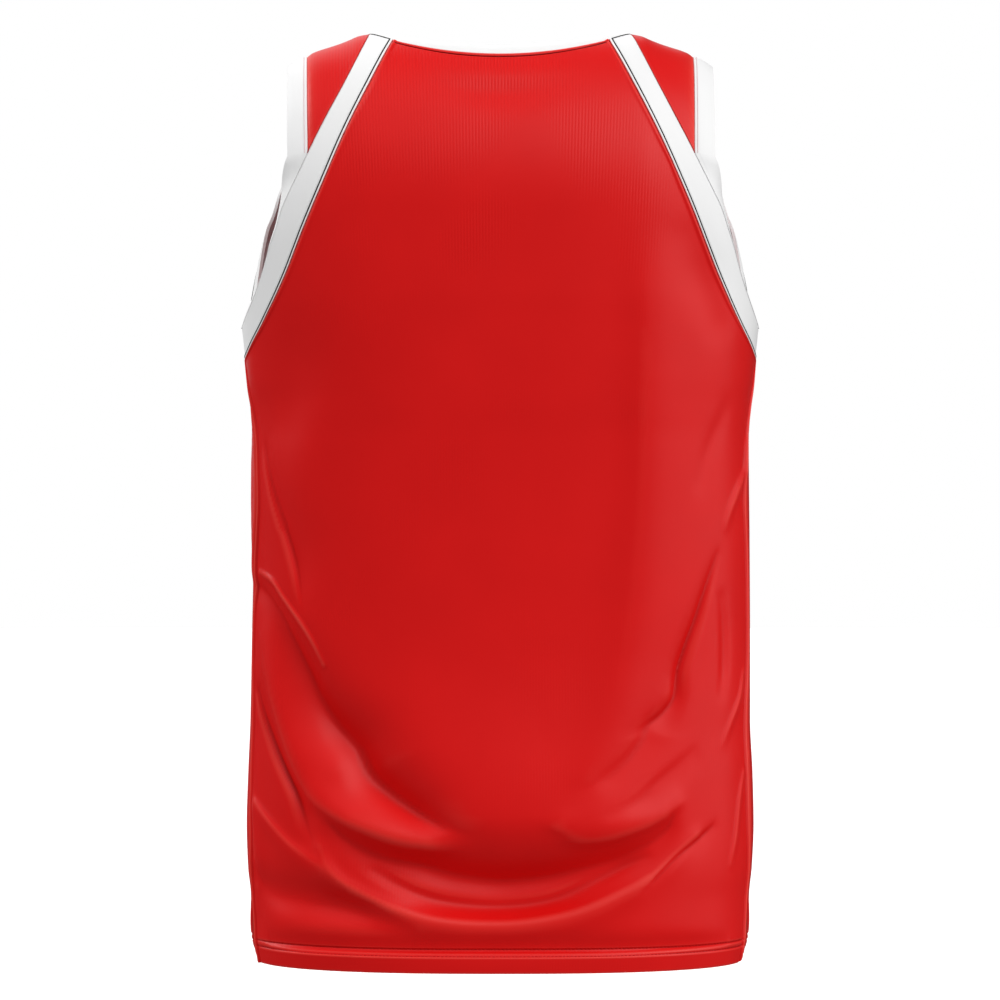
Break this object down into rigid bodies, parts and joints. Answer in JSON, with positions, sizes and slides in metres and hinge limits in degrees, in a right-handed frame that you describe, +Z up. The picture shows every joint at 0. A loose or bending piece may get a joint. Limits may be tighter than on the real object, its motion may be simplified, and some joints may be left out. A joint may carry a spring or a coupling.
{
  "type": "basketball jersey",
  "caption": "Sleeveless basketball jersey, hollow and filled out as worn, with diagonal stripes from neck to underarm, bound neck and armholes, and side vents.",
  "frame": {"origin": "middle of the line between the two neck points, where the wearer's shoulders carry the jersey", "axes": "+Z up along the wearer's body, -Y the way the wearer faces, +X towards the wearer's left"},
  "size_m": [0.4223, 0.2521, 0.7558],
  "materials": {
    "red_cloth": "satin-faced knitted polyester with fine vertical ribs",
    "white_cloth": "smooth knitted polyester"
  },
  "bodies": {
    "root": {"back_panel": "red_cloth", "front_panel": "red_cloth", "shoulder_yoke_left": "red_cloth", "shoulder_yoke_right": "red_cloth", "back_stripe_left": "white_cloth", "back_stripe_right": "white_cloth", "front_stripe_left": "white_cloth", "front_stripe_right": "white_cloth", "back_piping_left": "white_cloth", "back_piping_right": "white_cloth", "front_piping_left": "white_cloth", "front_piping_right": "white_cloth", "neck_binding": "white_cloth", "armhole_binding_left": "white_cloth", "armhole_binding_right": "white_cloth"}
  },
  "joints": []
}
